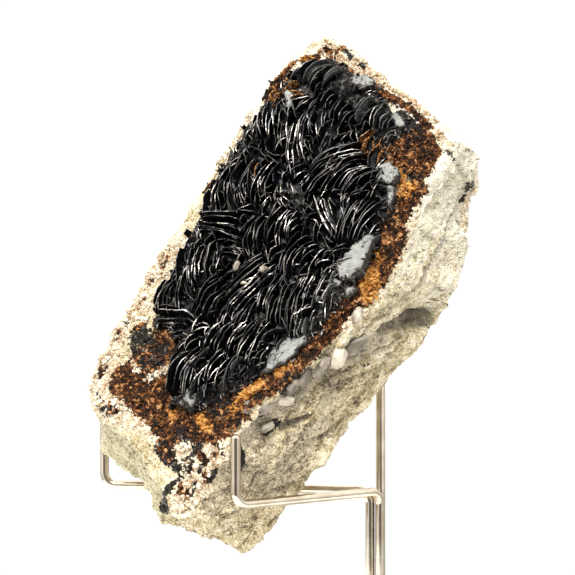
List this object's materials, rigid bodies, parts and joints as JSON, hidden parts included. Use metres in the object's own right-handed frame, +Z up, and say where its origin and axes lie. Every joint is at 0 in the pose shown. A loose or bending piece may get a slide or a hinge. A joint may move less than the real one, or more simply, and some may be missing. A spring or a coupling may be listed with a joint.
{
  "type": "mineral specimen on stand",
  "caption": "Platy black hematite crystals on a leaning block of pale rusty rock, held by three bent wires on a round weighted base.",
  "frame": {"origin": "bottom centre of the whole object's bounding box, on the table", "axes": "+Z up, -Y towards the picture's camera, +X to the viewer's right"},
  "size_m": [0.108, 0.082, 0.175],
  "materials": {
    "pale_rock": "rough stone, cream with rust stains",
    "black_hematite": "glossy black crystal faces with bright edges",
    "nickel_steel": "plated, softly polished"
  },
  "bodies": {
    "root": {"matrix_rock": "pale_rock", "hematite_crystals": "black_hematite", "left_arm_wire": "nickel_steel", "right_arm_wire": "nickel_steel", "back_rest_wire": "nickel_steel", "stand_base": "nickel_steel"}
  },
  "joints": []
}
